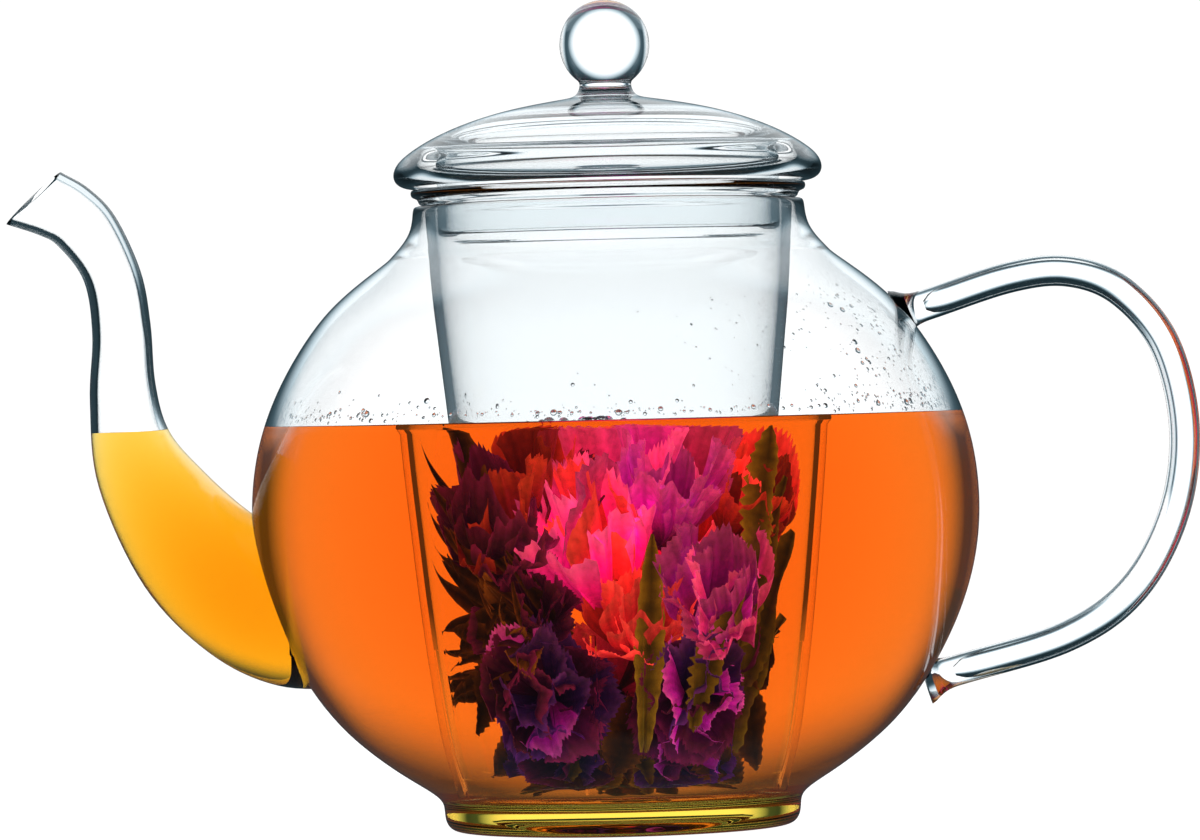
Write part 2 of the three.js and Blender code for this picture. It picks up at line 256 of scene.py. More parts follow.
def glass_material(name, ior, colour=(0.975, 0.99, 0.995, 1)):
    """Blown glass: clear, with the faint slow waves that free blowing leaves."""
    material, nodes, links, shader = new_material(name)
    shader.inputs["Base Color"].default_value = colour
    shader.inputs["Roughness"].default_value = 0.0
    shader.inputs["IOR"].default_value = ior
    shader.inputs["Transmission Weight"].default_value = 1.0
    waves = add_noise(nodes, links, 22, 1)
    add_bump(nodes, links, shader, waves.outputs["Fac"], 0.02, 0.0006)
    return material


def tea_material(name, absorbed_per_m):
    """Clear liquid that absorbs red, green and blue at the given rates per metre."""
    material, nodes, links, shader = new_material(name)
    shader.inputs["Base Color"].default_value = (1, 1, 1, 1)
    shader.inputs["Roughness"].default_value = 0.0
    shader.inputs["IOR"].default_value = 1.333
    shader.inputs["Transmission Weight"].default_value = 1.0
    density = max(absorbed_per_m) * 1.02
    absorb = nodes.new("ShaderNodeVolumeAbsorption")
    absorb.inputs["Color"].default_value = (*(1 - a / density for a in absorbed_per_m), 1)
    absorb.inputs["Density"].default_value = density
    output = nodes["Material Output"]
    links.new(absorb.outputs["Volume"], output.inputs["Volume"])
    waves = add_noise(nodes, links, 30, 1)
    add_bump(nodes, links, shader, waves.outputs["Fac"], 0.02, 0.0004)
    return material


CLEAR_GLASS = glass_material("clear_glass", 1.47)
# glass stands out less in tea than in air, so its index is far lower below the tea line
WET_GLASS = glass_material("glass_under_tea", 1.025)
# the foot's amber is painted tea light: the real foot is clear and only shows the tea's colour through it
FOOT_GLASS = glass_material("foot_glass_painted_tea_light", 1.47, (1.0, 0.68, 0.08, 1))
TEA = tea_material("tea", (0.5, 16.5, 42))
SPOUT_TEA = tea_material("spout_tea", (3, 42, 200))


# ---------------------------------------------------------------- pot

SPOUT_EDGES_MM = [  # upper edge x, z; lower edge x, z; half depth: from inside the globe to the mouth
    (-55, 57, -53, 29, 15),
    (-66, 60.5, -68.5, 30.1, 16.5),
    (-74, 65.6, -82, 37, 16.2),
    (-82.5, 73.6, -94.6, 50.6, 13.2),
    (-88.9, 81.5, -103.2, 70.5, 9.4),
    (-91.4, 91, -104.6, 87.5, 6.7),
    (-92.1, 103, -103.8, 101, 5.9),
    (-93.8, 113.5, -105.2, 111.8, 5.9),
    (-98.6, 124.6, -110.2, 119, 6.1),
    (-103.8, 130.4, -114.2, 121.4, 6.2),
    (-109.3, 133.8, -120.4, 123.6, 6.2),
]
SPOUT_WALL = 1.6 * MM
SPOUT_AROUND = 96
HANDLE_ROUTE_MM = [
    (62.7, 102.9),
    (80.2, 108.2),
    (92, 109),
    (102.2, 104.7),
    (110.6, 94),
    (114.1, 77.3),
    (111.6, 60.3),
    (103.2, 45.3),
    (89.7, 36.1),
    (66.9, 29.7),
]
TUBE_R = 3.1 * MM
TUBE_BORE_R = 1.75 * MM


def catmull_rom(points, steps):
    """A curve through every point."""
    p = np.array(points, float)
    p = np.vstack([2 * p[0] - p[1], p, 2 * p[-1] - p[-2]])
    out = []
    for i in range(len(p) - 3):
        a, b, c, d = p[i : i + 4]
        for t in np.arange(steps) / steps:
            out.append(
                0.5
                * (
                    2 * b
                    + (c - a) * t
                    + (2 * a - 5 * b + 4 * c - d) * t**2
                    + (3 * b - a - 3 * c + d) * t**3
                )
            )
    out.append(p[-2])
    return np.array(out)


def spout_rings(inset, first=0, last=None):
    stations = catmull_rom(SPOUT_EDGES_MM, 8) * MM
    rings = []
    for ux, uz, lx, lz, depth in stations[first:last]:
        upper, lower = np.array([ux, uz]), np.array([lx, lz])
        centre = (upper + lower) / 2
        half = upper - centre
        half *= 1 - inset / np.linalg.norm(half)
        angles = np.arange(SPOUT_AROUND) * 2 * math.pi / SPOUT_AROUND
        rings.append(
            [
                (
                    centre[0] + half[0] * math.cos(a),
                    (depth - inset) * math.sin(a),
                    centre[1] + half[1] * math.cos(a),
                )
                for a in angles
            ]
        )
    return rings


def tube_rings(route, radii, around=48):
    """Rings square to a route in the plane y = 0."""
    route = np.array(route)
    along = np.gradient(route, axis=0)
    along /= np.linalg.norm(along, axis=1)[:, None]
    rings = []
    for (x, z), (tx, tz), r in zip(route, along, radii):
        rings.append(
            [
                (
                    x - tz * r * math.cos(a),
                    r * math.sin(a),
                    z + tx * r * math.cos(a),
                )
                for a in np.arange(around) * 2 * math.pi / around
            ]
        )
    return rings


def to_axis(outline):
    """The outline with both its ends carried level to the axis."""
    if outline[0][0] > 0:
        outline.insert(0, (0, outline[0][1]))
    if outline[-1][0] > 0:
        outline.append((0, outline[-1][1]))
    return outline


def pot_outline():
    """The foot, globe and neck in one outline, up the outside, over the lip and down the inside."""
    outline = section("pot_body")
    neck = section("pot_neck")
    join = int(np.argmax([z for r, z in outline])) + 1
    outline[join:join] = neck[1:] + neck[:1]
    return to_axis(outline)


def cavity_outline(grow, top):
    """The inside of the globe as an open outline up from the axis, grown into the wall, up to a height."""
    outline = np.array(pot_outline())
    tip = int(np.argmax(outline[:, 1]))
    inside = smooth_curve(outline[tip + 1 :], axis_ends=False)[::-1]
    inside = outward(inside, grow)
    inside[0] = (0, inside[1][1])
    return inside[inside[:, 1] < top]


def cavity_solid(grow):
    """A solid that fills the globe, grown into its wall, to cut away what would reach inside."""
    inside = cavity_outline(grow, POT_TOP_Z - 4 * MM)
    return turned("cavity", np.vstack([inside, [(0, inside[-1][1])]]))


def beyond(route, reach):
    """Points past the route's end, in the direction that it ends in."""
    along = unit(route[-1] - route[-2])
    return [route[-1] + along * s for s in reach]


def handle_shape(radius, flare, reach):
    """The handle's route extended into the globe at both welds, and its radius along it."""
    route = catmull_rom(HANDLE_ROUTE_MM, 14) * MM
    before = beyond(route[::-1], reach)[::-1]
    after = beyond(route, reach)
    radii = [radius + f for f in flare[::-1]] + [radius] * len(route) + [radius + f for f in flare]
    return np.vstack([before, route, after]), radii


WELD_REACH = np.array([1, 2, 3, 4, 5, 6]) * MM
WELD_FLARE = np.array([0.05, 0.2, 0.5, 1.0, 1.6, 2.0]) * MM
WELD_BITE = 0.6 * MM  # how far the spout and handle reach into the globe's wall


def make_pot():
    """The globe, neck and foot in one glass, with the spout and handle joined on and bored through."""
    pot = turned("pot_glass", smooth_curve(pot_outline(), axis_ends=True))
    spout = loft("spout_outside", spout_rings(0))
    combine(spout, cavity_solid(WELD_BITE), "DIFFERENCE")
    combine(pot, spout, "UNION")
    combine(pot, loft("spout_bore", spout_rings(SPOUT_WALL)), "DIFFERENCE")
    handle = loft("handle_outside", tube_rings(*handle_shape(TUBE_R, WELD_FLARE, WELD_REACH)))
    combine(handle, cavity_solid(WELD_BITE), "DIFFERENCE")
    combine(pot, handle, "UNION")
    bore = catmull_rom(HANDLE_ROUTE_MM, 14) * MM
    taper = np.minimum(np.arange(len(bore)), np.arange(len(bore))[::-1])
    radii = TUBE_BORE_R * np.sqrt(1 - (1 - np.minimum(taper + 0.3, 4) / 4) ** 2)
    combine(pot, loft("handle_bore", tube_rings(bore, radii)), "DIFFERENCE")
    pot.data.materials.clear()
    pot.data.materials.append(CLEAR_GLASS)
    pot.data.materials.append(FOOT_GLASS)
    tidy_mesh(pot)
    for face in pot.data.polygons:
        face.material_index = int(face.center.z < FOOT_TOP_Z)
    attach(pot, "pot")
    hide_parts("pot_body", "pot_neck", "spout", "handle", "handle_upper_weld", "handle_lower_weld")


# ---------------------------------------------------------------- tea


TEA_OVERLAP = 0.35 * MM  # the tea runs this far into the glass, so that no gap shows


def make_tea():
    inside = cavity_outline(TEA_OVERLAP, TEA_Z - 0.4 * MM)
    wall = inside[-1]
    meniscus = [
        wall + (0, 0.5 * MM),
        wall + (-0.1 * MM, 0.75 * MM),
        wall + (-0.5 * MM, 0.55 * MM),
        wall + (-1.6 * MM, 0.4 * MM),
    ]
    outline = np.vstack([inside, meniscus, [(0, TEA_Z)]])
    tea = turned("tea", outline, material=TEA)
    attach(tea, "pot")
    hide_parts("tea_in_pot", "tea_in_infuser")
    column = loft("tea_in_the_spout", spout_rings(SPOUT_WALL - 0.3 * MM), material=SPOUT_TEA)
    size = 0.4
    combine(column, box("above", (-size, -size, TEA_Z), (size, size, TEA_Z + size)), "DIFFERENCE")
    combine(column, cavity_solid(0.2 * MM), "DIFFERENCE")
    column.data.materials.clear()
    column.data.materials.append(SPOUT_TEA)
    tidy_mesh(column)
    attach(column, "pot")
    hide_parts("tea_in_spout")


# ---------------------------------------------------------------- infuser

SLIT_COUNT = 20
SLIT_WIDTH = 0.8 * MM
SLIT_LOW, SLIT_HIGH = 8 * MM, 30 * MM
SLIT_INNER_R, SLIT_OUTER_R = 20 * MM, 34 * MM


def make_infuser():
    """The beaker with its ring of slits. Below the tea line it takes the weaker glass."""
    outline = to_axis(section("infuser"))
    glass = turned("infuser_glass", smooth_curve(outline, axis_ends=True))
    for i in range(SLIT_COUNT):
        turn = Matrix.Rotation(2 * math.pi * (i + 0.5) / SLIT_COUNT, 4, "Z")
        low = (SLIT_INNER_R, -SLIT_WIDTH / 2, SEAT_Z + SLIT_LOW)
        high = (SLIT_OUTER_R, SLIT_WIDTH / 2, SEAT_Z + SLIT_HIGH)
        combine(glass, box("slit", low, high, turn), "DIFFERENCE")
    glass.data.materials.clear()
    glass.data.materials.append(CLEAR_GLASS)
    glass.data.materials.append(WET_GLASS)
    tidy_mesh(glass)
    for face in glass.data.polygons:
        face.material_index = int(face.center.z < TEA_Z)
    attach(glass, "infuser")
    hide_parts("infuser")


# ---------------------------------------------------------------- lid


def lid_outline():
    """The dome, with the skirt fused under it and the stem and ball fused on top, as one outline."""
    dome = to_axis(section("lid_dome"))
    rim = max(range(len(dome)), key=lambda i: dome[i][0])
    under, over = dome[:rim], dome[rim:]
    low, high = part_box("lid_skirt")
    skirt_r = high.x
    bore_r = min(r for r, z in section("lid_skirt"))
    inner = [p for p in under if p[0] < 0.93 * bore_r and p[1] > high.z]
    skirt = [
        (bore_r, high.z - 0.4 * MM),
        (bore_r, high.z - 3 * MM),
        (bore_r, low.z + 1.2 * MM),
        (bore_r, low.z),
        (skirt_r, low.z),
        (skirt_r, low.z + 1.2 * MM),
        (skirt_r, high.z - 3.5 * MM),
        (skirt_r + 0.2 * MM, high.z - 1 * MM),
    ]
    outer = [p for p in under if p[0] > skirt_r + 1.5 * MM]
    ball_low, ball_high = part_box("knob")
    radius = (ball_high.x - ball_low.x) / 2
    centre = (ball_low.z + ball_high.z) / 2
    top = over[-1][1]
    stem = [(7.2 * MM, top - 0.1 * MM), (5.9 * MM, top + 0.5 * MM), (5.3 * MM, top + 1.5 * MM)]
    start = math.asin(5.0 * MM / radius)
    ball = [
        (radius * math.sin(a), centre - radius * math.cos(a))
        for a in np.linspace(start, math.pi, 22)
    ]
    ball[-1] = (0, ball_high.z)
    return inner + skirt + outer + [p for p in over if p[0] > 9 * MM] + stem + ball


def make_lid():
    lid = turned("lid_glass", smooth_curve(lid_outline(), axis_ends=True), material=CLEAR_GLASS)
    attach(lid, "lid")
    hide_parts("lid_dome", "lid_skirt", "knob_stem", "knob")


# ---------------------------------------------------------------- blossom

COLUMN_LOW_R, COLUMN_HIGH_R = 23.4 * MM, 30.5 * MM
COLUMN_LOW_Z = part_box("leaf_bundle")[0].z
COLUMN_HIGH_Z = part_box("pink_carnation")[1].z

# Each palette runs from its base, a near-black painted shade for the petal roots, through its full colour to
# its pale tip.
HOT_PINK = ((0.16, 0.0, 0.08), (0.95, 0.015, 0.95), (1.0, 0.15, 1.3))
CORAL = ((0.06, 0.0, 0.005), (0.62, 0.025, 0.08), (1.0, 0.1, 0.2))
RED = ((0.02, 0.0, 0.0), (0.22, 0.01, 0.02), (0.5, 0.05, 0.05))
MAGENTA = ((0.06, 0.0, 0.06), (0.6, 0.03, 0.65), (0.9, 0.14, 1.1))
VIOLET = ((0.05, 0.0, 0.09), (0.38, 0.01, 0.8), (0.65, 0.1, 1.1))
PLUM = ((0.002, 0.0, 0.003), (0.03, 0.003, 0.04), (0.16, 0.012, 0.16))
NAVY = ((0.002, 0.0, 0.01), (0.025, 0.006, 0.14), (0.12, 0.025, 0.45))
BROWN = ((0.012, 0.005, 0.002), (0.08, 0.03, 0.007), (0.36, 0.15, 0.03))
OLIVE = ((0.02, 0.014, 0.002), (0.13, 0.1, 0.012), (0.36, 0.28, 0.04))


def column_radius(z):
    share = np.clip((z - COLUMN_LOW_Z) / (COLUMN_HIGH_Z - COLUMN_LOW_Z), 0, 1)
    return COLUMN_LOW_R + (COLUMN_HIGH_R - COLUMN_LOW_R) * share


def ease(share, start):
    """Slows down from start so that it never passes 1."""
    return start + (1 - start) * np.tanh((share - start) / (1 - start))


def pressed(points):
    """Points held inside the column, flattening softly where they meet the infuser's wall."""
    p = points.copy()
    middle, half = (COLUMN_LOW_Z + COLUMN_HIGH_Z) / 2, (COLUMN_HIGH_Z - COLUMN_LOW_Z) / 2
    high = (p[..., 2] - middle) / half
    eased = ease(np.abs(high), 0.93)
    p[..., 2] = np.where(np.abs(high) > 0.93, middle + half * np.sign(high) * eased, p[..., 2])
    r = np.hypot(p[..., 0], p[..., 1])
    share = r / column_radius(p[..., 2])
    soft = np.where(share > 0.86, ease(share, 0.86), share)
    p[..., :2] *= (soft / np.maximum(share, 1e-9))[..., None]
    return p


class Sheets:
    """Collects thin sheets, each a grid of points with a colour at every point, into one mesh."""

    def __init__(self):
        self.points, self.faces, self.tints = [], [], []

    def add(self, grid, tint):
        rows, columns = grid.shape[:2]
        first = len(self.points)
        self.points += [tuple(p) for p in pressed(grid).reshape(-1, 3)]
        self.tints += [tuple(c) for c in tint.reshape(-1, 3)]
        for i in range(rows - 1):
            for j in range(columns - 1):
                a = first + i * columns + j
                self.faces.append((a, a + 1, a + columns + 1, a + columns))

    def finish(self, name, material, slot, *nodes):
        piece = mesh_object(name, self.points, self.faces, material)
        colours = piece.data.color_attributes.new("tint", "FLOAT_COLOR", "POINT")
        flat = np.ones((len(self.tints), 4), np.float32)
        flat[:, :3] = np.array(self.tints)
        colours.data.foreach_set("color", flat.ravel())
        piece.data.shade_smooth()
        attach(piece, "infuser")
        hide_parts(*nodes)
        return piece


def shaded(palette, u, v, chance):
    """Dark at the base as painted shade where the petals crowd at their roots, full in the middle, pale at
    the edge, with fine veins and patches.
    """
    base, middle, tip = (np.array(c) for c in palette)
    u, v = np.broadcast_arrays(u, v)
    low = np.clip(u / 0.62, 0, 1)[..., None] ** 1.7
    high = np.clip((u - 0.62) / 0.38, 0, 1)[..., None] ** 1.6
    tint = base + (middle - base) * low
    tint = tint + (tip - tint) * high
    veins = 1 + 0.3 * np.sin(v * 26 + u * 3) * np.sin(v * 9 + chance.uniform(0, 6))
    return np.clip(tint * (veins * chance.uniform(0.4, 1.25))[..., None], 0, 2)


def add_petal(sheets, chance, base, along, face, length, width, palette, ruffle=0.14, teeth=0.028, curl=0.22):
    """A carnation petal: a narrow claw that fans out to a ruffled edge cut into small teeth."""
    rows, columns = 15, 37
    along = unit(along)
    side = unit(np.cross(along, face))
    face = np.cross(side, along)
    u = np.linspace(0, 1, rows)[:, None]
    v = np.linspace(-1, 1, columns)[None, :]
    spread = 0.14 + 0.86 * np.sin(u * math.pi / 2) ** 1.1
    teeth_at = np.where(np.arange(columns) % 2 == 0, 1.0, -1.0)[None, :] * np.interp(
        v, np.linspace(-1, 1, 9), [chance.uniform(0.3, 1.4) for _ in range(9)]
    )
    reach = length * (u * (1 - 0.36 * v * v * u) + teeth * teeth_at * u**12)
    waves = sum(
        share * np.sin(v * chance.uniform(low, high) + chance.uniform(0, 6.28))
        for share, low, high in ((0.55, 2, 5), (0.35, 6, 10), (0.16, 12, 18))
    )
    lift = length * (curl * u**2 + ruffle * u**1.5 * waves)
    grid = (
        np.array(base)
        + along * reach[..., None]
        + side * (width / 2 * v * spread)[..., None]
        + face * (lift + 0 * v)[..., None]
    )
    sheets.add(grid, shaded(palette, u + 0 * v, v + 0 * u, chance))


def add_head(sheets, chance, centre, axis, count, length, width, palettes, opening=70):
    """A flower head: petals round an axis in a spiral, upright at its heart and spread at its rim."""
    axis = unit(axis)
    across = unit(np.cross(axis, (0.31, 0.72, 0.62)))
    other = np.cross(axis, across)
    for i in range(count):
        turn = i * 2.39996 + chance.uniform(-0.3, 0.3)
        tilt = math.radians(opening) * math.sqrt((i + 0.5) / count) * chance.uniform(0.8, 1.15)
        out = across * math.cos(turn) + other * math.sin(turn)
        along = axis * math.cos(tilt) + out * math.sin(tilt)
        inward = axis * math.sin(tilt) - out * math.cos(tilt)
        base = np.array(centre) * MM - out * 0.7 * MM
        size = length * MM * chance.uniform(0.75, 1.15)
        palette = palettes[int(chance.random() * len(palettes))]
        add_petal(sheets, chance, base, along, inward, size, size * width * chance.uniform(0.8, 1.2), palette)


def add_leaf(sheets, chance, start, end, width, palette, bow=0.15, serrated=0.1, twist=0.5):
    """A soaked leaf between two points: a folded blade on a midrib, with a serrated edge."""
    rows, columns = 29, 9
    start, end = np.array(start, float) * MM, np.array(end, float) * MM
    along = end - start
    length = np.linalg.norm(along)
    along /= length
    side = unit(np.cross(along, (chance.uniform(-0.3, 0.3), -1, chance.uniform(-0.3, 0.3))))
    face = np.cross(side, along)
    u = np.linspace(0, 1, rows)[:, None]
    v = np.linspace(-1, 1, columns)[None, :]
    half = width * MM / 2 * np.sin(math.pi * np.clip(u * 0.96 + 0.03, 0, 1)) ** 0.7
    half = half * (1 + serrated * np.where(np.arange(rows) % 2 == 0, 1, -1)[:, None] * np.abs(v) ** 3)
    angle = twist * (u - 0.5) * 2
    wave = 0.12 * width * MM * np.sin(u * chance.uniform(8, 14) + chance.uniform(0, 6)) * v
    fold = 0.25 * half * np.abs(v) + wave
    arch = bow * length * np.sin(math.pi * u)
    grid = (
        start
        + along * (u * length + 0 * v)[..., None]
        + side * (half * v * np.cos(angle) - fold * np.sin(angle))[..., None]
        + face * (half * v * np.sin(angle) + fold * np.cos(angle) + arch)[..., None]
    )
    tint = shaded(palette, 0.25 + 0.6 * np.abs(v) + 0 * u, u * 2 + 0 * v, chance)
    sheets.add(grid, tint)


def petal_material(name, painted_glow, roughness=0.32):
    """A wet petal coloured by its own tint and speckled, with a painted glow: it gives off its own colour as
    light, standing in for light scattered through it.
    """
    material, nodes, links, shader = new_material(name)
    tint = nodes.new("ShaderNodeAttribute")
    tint.attribute_name = "tint"
    speckle = add_noise(nodes, links, 900, 3)
    shade = nodes.new("ShaderNodeMapRange")
    shade.inputs["From Min"].default_value = 0.3
    shade.inputs["From Max"].default_value = 0.7
    shade.inputs["To Min"].default_value = 0.75
    shade.inputs["To Max"].default_value = 1.15
    links.new(speckle.outputs["Fac"], shade.inputs["Value"])
    scaled = nodes.new("ShaderNodeVectorMath")
    scaled.operation = "SCALE"
    links.new(tint.outputs["Color"], scaled.inputs[0])
    links.new(shade.outputs["Result"], scaled.inputs["Scale"])
    links.new(scaled.outputs["Vector"], shader.inputs["Base Color"])
    # painted glow: the tint also goes out as emitted light, so the petals shine though no lamp is in them
    links.new(scaled.outputs["Vector"], shader.inputs["Emission Color"])
    shader.inputs["Emission Strength"].default_value = painted_glow
    shader.inputs["Roughness"].default_value = roughness
    creases = add_noise(nodes, links, 420, 4)
    add_bump(nodes, links, shader, creases.outputs["Fac"], 0.5, 0.0008)
    return material


def make_carnation(chance, petals):
    pink = Sheets()
    mostly_pink = [HOT_PINK, HOT_PINK, HOT_PINK, CORAL]
    add_head(pink, chance, (-1, -12, 47), (-0.3, -0.45, 1.0), 13, 27, 0.85, mostly_pink, 42)
    add_head(pink, chance, (0, 2, 52), (0.1, 0.5, 0.9), 8, 24, 0.8, [HOT_PINK, MAGENTA], 55)
    pink.finish("carnation_heart", petals, "pink_petal", "pink_carnation")


def make_coral_petals(chance, petals):
    front = Sheets()
    add_head(front, chance, (3, -16, 41), (0.05, -0.75, 0.8), 13, 15, 0.85, [CORAL, CORAL, CORAL, RED], 66)
    add_leaf(front, chance, (4, -25, 24), (6, -27, 60), 5.5, OLIVE, 0.03, 0.06, 0.2)
    front.finish("coral_petals", petals, "red_petal", "front_petals")


def make_magenta_petals(chance, petals):
    purple = Sheets()
    add_head(purple, chance, (14, -13, 46), (0.4, -0.85, 0.45), 13, 20, 0.9, [MAGENTA, MAGENTA, VIOLET], 66)
    add_head(purple, chance, (7, -8, 58), (0.1, -0.5, 0.95), 11, 20, 0.8, [VIOLET, VIOLET, MAGENTA], 58)
    purple.finish("magenta_petals", petals, "purple_petal", "purple_petals")


def make_red_petals(chance, petals):
    red = Sheets()
    add_head(red, chance, (17, -4, 58), (0.55, -0.4, 0.85), 11, 18, 0.85, [RED, CORAL, RED], 62)
    add_head(red, chance, (10, 14, 54), (0.4, 0.8, 0.6), 12, 18, 0.85, [RED, CORAL, MAGENTA], 68)
    for low, high, width in (
        ((19, -15, 42), (27, -8, 68), 8),
        ((20, -12, 36), (28, -4, 60), 9),
        ((21, -13, 52), (25, -11, 76), 7),
        ((12, -21, 28), (21, -17, 52), 7),
        ((17, -14, 24), (26, -4, 48), 9),
        ((14, 18, 40), (18, 21, 64), 8),
    ):
        add_leaf(red, chance, low, high, width, OLIVE, 0.08, 0.14)
    red.finish("red_petals_and_leaves", petals, "red_petal", "red_petals")


def make_plum_petals(chance, dark):
    navy = Sheets()
    add_head(navy, chance, (-15, -12, 56), (-0.45, -0.55, 0.8), 17, 21, 0.7, [PLUM, PLUM, PLUM, RED], 80)
    add_head(navy, chance, (-13, -14, 46), (-0.4, -0.8, 0.3), 11, 15, 0.6, [PLUM, BROWN, PLUM], 80)
    add_head(navy, chance, (-10, 14, 54), (-0.4, 0.8, 0.6), 13, 18, 0.85, [NAVY, PLUM, MAGENTA], 68)
    navy.finish("plum_petals", dark, "dark_petal", "navy_petals")


def make_needle_leaves(chance, leaves):
    """Thin leaves that stick out to the spout's side, and a few placed where they show most."""
    needles = Sheets()
    for i in range(26):
        root = (-8 + chance.uniform(-4, 3), chance.uniform(-17, -6), 45 + chance.uniform(-8, 8))
        turn = math.radians(chance.uniform(165, 232))
        tip = (31 * math.cos(turn), 31 * math.sin(turn), chance.uniform(34, 74))
        add_leaf(needles, chance, root, tip, chance.uniform(1.4, 3), BROWN, 0.05, 0.02, 1.4)
    for start, end, width in (
        ((-14, -20, 52), (-31, -6, 68), 2.6),
        ((-14, -20, 48), (-30.5, -7, 63), 2.8),
        ((-14, -20, 45), (-30, -7, 57), 2.6),
        ((-13, -19, 43), (-29.5, -8, 47), 3.8),
        ((-18, -17, 50), (-29, -7, 43), 4.5),
        ((-20, -16, 62), (-27, -12, 80), 5),
    ):
        add_leaf(needles, chance, start, end, width, BROWN, 0.03, 0.02, 0.6)
    needles.finish("needle_tea_leaves", leaves, "tea_leaf", "needle_leaves")


def make_lower_flower(chance, dark):
    low = Sheets()
    add_head(low, chance, (-11, -12, 35), (-0.35, -0.85, -0.05), 16, 18, 0.85, [NAVY, PLUM, NAVY, VIOLET], 80)
    add_head(low, chance, (10, -13, 35), (0.35, -0.85, -0.05), 16, 18, 0.85, [NAVY, VIOLET, PLUM], 80)
    add_head(low, chance, (0, 12, 38), (0, 0.9, 0), 15, 16, 0.85, [NAVY, PLUM, MAGENTA], 80)
    low.finish("dark_lower_flower", dark, "dark_petal", "dark_flower")


def make_leaf_bundle(chance, leaves):
    """The tied base: two dark heads in front, a ring of drooping leaves and a few large ones."""
    bundle = Sheets()
    add_head(bundle, chance, (-8, -10, 26), (-0.3, -0.8, -0.3), 9, 14, 0.85, [NAVY, PLUM], 75)
    add_head(bundle, chance, (8, -10, 26), (0.3, -0.8, -0.3), 9, 14, 0.85, [NAVY, VIOLET, PLUM], 75)
    for i in range(40):
        turn = 2 * math.pi * (i + chance.random() * 0.7) / 40
        radius = chance.uniform(11, 20)
        start = (6 * math.cos(turn), 6 * math.sin(turn), chance.uniform(26, 36))
        end = (radius * math.cos(turn + 0.3), radius * math.sin(turn + 0.3), chance.uniform(18, 24))
        add_leaf(bundle, chance, start, end, chance.uniform(3, 7), BROWN if i % 3 else OLIVE)
    for start, end, width in (
        ((-12, -14, 36), (-22, -8, 22), 9),
        ((-18, -13, 44), (-24, -8, 30), 8),
        ((12, -15, 30), (20, -10, 18), 9),
        ((19, -10, 40), (23, -8, 22), 9),
        ((2, -20, 34), (-2, -21, 19), 8),
        ((21, -8, 36), (25, -6, 46), 8),
    ):
        add_leaf(bundle, chance, start, end, width, BROWN, 0.08, 0.12)
    bundle.finish("leaf_bundle_leaves", leaves, "tea_leaf", "leaf_bundle", "bundle_neck")


def make_blossom():
    """Every piece draws from one seeded source, so their order matters."""
    chance = random.Random(7)
    # the second numbers are painted glow strengths for the petals and the leaves
    petals = petal_material("wet_petal", 0.7)
    dark = petal_material("wet_dark_petal", 0.7)
    leaves = petal_material("wet_tea_leaf", 0.3, 0.4)
    make_carnation(chance, petals)
    make_coral_petals(chance, petals)
    make_magenta_petals(chance, petals)
    make_red_petals(chance, petals)
    make_plum_petals(chance, dark)
    make_needle_leaves(chance, leaves)
    make_lower_flower(chance, dark)
    make_leaf_bundle(chance, leaves)


# ---------------------------------------------------------------- drops, bubbles and thread

WATER = glass_material("water_drop", 1.333, (1, 1, 1, 1))
DROP_RINGS, DROP_AROUND = 5, 12


def add_dome(points, faces, centre, out, radius, height):
    """A closed low dome standing on a wall at centre and rising along out."""
    across = unit(np.cross(out, (0.3, 0.2, 0.93)))
    other = np.cross(out, across)
    first = len(points)
    for i in range(DROP_RINGS):
        angle = math.pi / 2 * i / DROP_RINGS
        for j in range(DROP_AROUND):
            turn = 2 * math.pi * j / DROP_AROUND
            flat = (across * math.cos(turn) + other * math.sin(turn)) * radius * math.cos(angle)
            points.append(tuple(centre + flat + out * height * math.sin(angle)))
    points.append(tuple(centre + out * height))
    for i in range(DROP_RINGS - 1):
        for j in range(DROP_AROUND):
            k = (j + 1) % DROP_AROUND
            a, b = first + i * DROP_AROUND, first + (i + 1) * DROP_AROUND
            faces.append((a + j, a + k, b + k, b + j))
    last = first + (DROP_RINGS - 1) * DROP_AROUND
    for j in range(DROP_AROUND):
        faces.append((last + j, last + (j + 1) % DROP_AROUND, len(points) - 1))
    faces.append(tuple(first + j for j in reversed(range(DROP_AROUND))))


DROP_TRIES = 900
SHOULDER_MM = 27  # how far above the tea the drops reach
CLEAR_FRONT = 0.75  # radians each side of the front that keep clear above the tea's edge


def make_condensation():
    """Drops on the inside of the globe, thickest just over the tea and on the handle's shoulder."""
    chance = random.Random(3)
    wall = cavity_outline(0, POT_TOP_Z - 12 * MM)
    heights = wall[:, 1]
    points, faces = [], []
    for i in range(DROP_TRIES):
        near_tea = i % 2 == 0
        z = TEA_Z + MM * (1.3 + chance.expovariate(0.7) if near_tea else chance.uniform(2, SHOULDER_MM))
        turn = chance.uniform(-math.pi, math.pi) if near_tea else chance.gauss(0, 0.6)
        in_front = abs(turn + math.pi / 2) < CLEAR_FRONT
        if z > heights[-1] or in_front and z > TEA_Z + 2.2 * MM:
            continue
        r = np.interp(z, heights, wall[:, 0])
        slope = np.interp(z + MM, heights, wall[:, 0]) - r
        inward = unit((-math.cos(turn), -math.sin(turn), slope / MM))
        radius = MM * min(0.13 + chance.expovariate(8), 0.7)
        centre = np.array((r * math.cos(turn), r * math.sin(turn), z)) + inward * 0.05 * MM
        add_dome(points, faces, centre, inward, radius, radius * 0.5)
    drops = mesh_object("condensation", points, faces, WATER)
    drops.data.shade_smooth()
    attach(drops, "pot")


